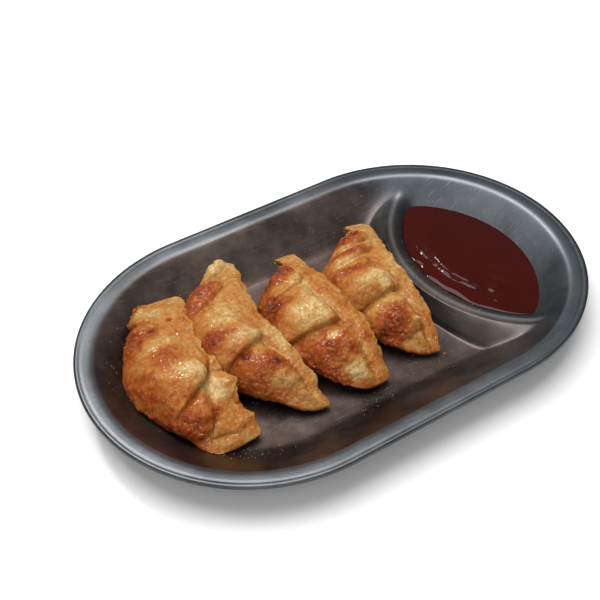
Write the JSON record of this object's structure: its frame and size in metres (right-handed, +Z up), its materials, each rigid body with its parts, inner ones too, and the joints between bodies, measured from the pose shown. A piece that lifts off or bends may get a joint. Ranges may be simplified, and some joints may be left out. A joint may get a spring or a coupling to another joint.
{
  "type": "plate of gyoza with dipping sauce",
  "caption": "Fried crescent dumplings with pleated sides and flat sealed edges, lying side by side in an oval steel tray with a curved divider and a well of red dipping sauce.",
  "frame": {"origin": "middle of the tray's flat underside", "axes": "+X along the tray towards the sauce well, +Y across the tray towards the dumplings' raised back tips, +Z up"},
  "size_m": [0.225, 0.144, 0.0247],
  "materials": {
    "steel": "worn satin, dull from use",
    "fried_dough": "fried dough, slightly oily",
    "red_sauce": "thick glossy sauce"
  },
  "bodies": {
    "root": {"tray": "steel", "gyoza_1": "fried_dough", "gyoza_2": "fried_dough", "gyoza_3": "fried_dough", "gyoza_4": "fried_dough", "dipping_sauce": "red_sauce"}
  },
  "joints": []
}
